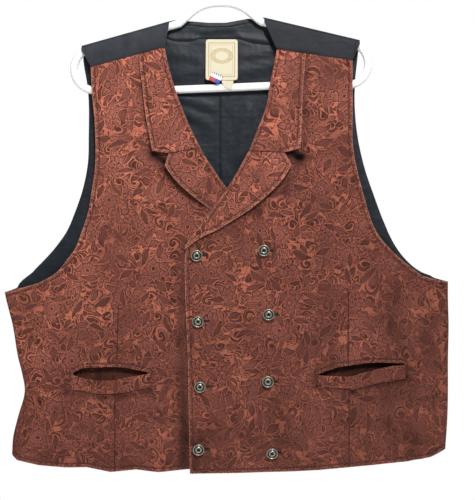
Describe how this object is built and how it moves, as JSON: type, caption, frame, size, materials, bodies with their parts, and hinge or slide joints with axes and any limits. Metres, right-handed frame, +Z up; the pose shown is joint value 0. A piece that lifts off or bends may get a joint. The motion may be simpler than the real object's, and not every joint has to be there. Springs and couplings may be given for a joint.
{
  "type": "western vest on a hanger",
  "caption": "Men's double-breasted western vest with notched lapels, welt pockets and metal buttons, hung flat on a tubular plastic hanger.",
  "frame": {"origin": "where the inside top of the hanger's hook rests on a rail", "axes": "+Z up, +X towards the wearer's left side, -Y out of the vest's front"},
  "size_m": [0.667, 0.0518, 0.768],
  "materials": {
    "floral_cloth": "two-tone rust floral twill, soft sheen",
    "back_cloth": "charcoal woven back cloth, matte",
    "lining": "charcoal lining, soft sheen",
    "button_metal": "aged nickel",
    "label_cloth": "woven label",
    "ribbon": "woven ribbon in navy, white and red",
    "hanger_plastic": "white moulded plastic"
  },
  "bodies": {
    "root": {"front_left": "floral_cloth", "front_right": "floral_cloth", "back_left": "back_cloth", "back_right": "back_cloth", "lining_left": "lining", "lining_right": "lining", "neck_facing": "lining", "collar_left": "floral_cloth", "collar_right": "floral_cloth", "lapel_left": "floral_cloth", "lapel_right": "floral_cloth", "welt_left": "floral_cloth", "welt_right": "floral_cloth", "pocket_bag_left": "floral_cloth", "pocket_bag_right": "floral_cloth", "button_1": "button_metal", "button_2": "button_metal", "button_3": "button_metal", "button_4": "button_metal", "button_5": "button_metal", "button_6": "button_metal", "button_7": "button_metal", "button_8": "button_metal", "label": "label_cloth", "size_tab": "label_cloth", "ribbon_tab": "ribbon", "hanger": "hanger_plastic"}
  },
  "joints": []
}
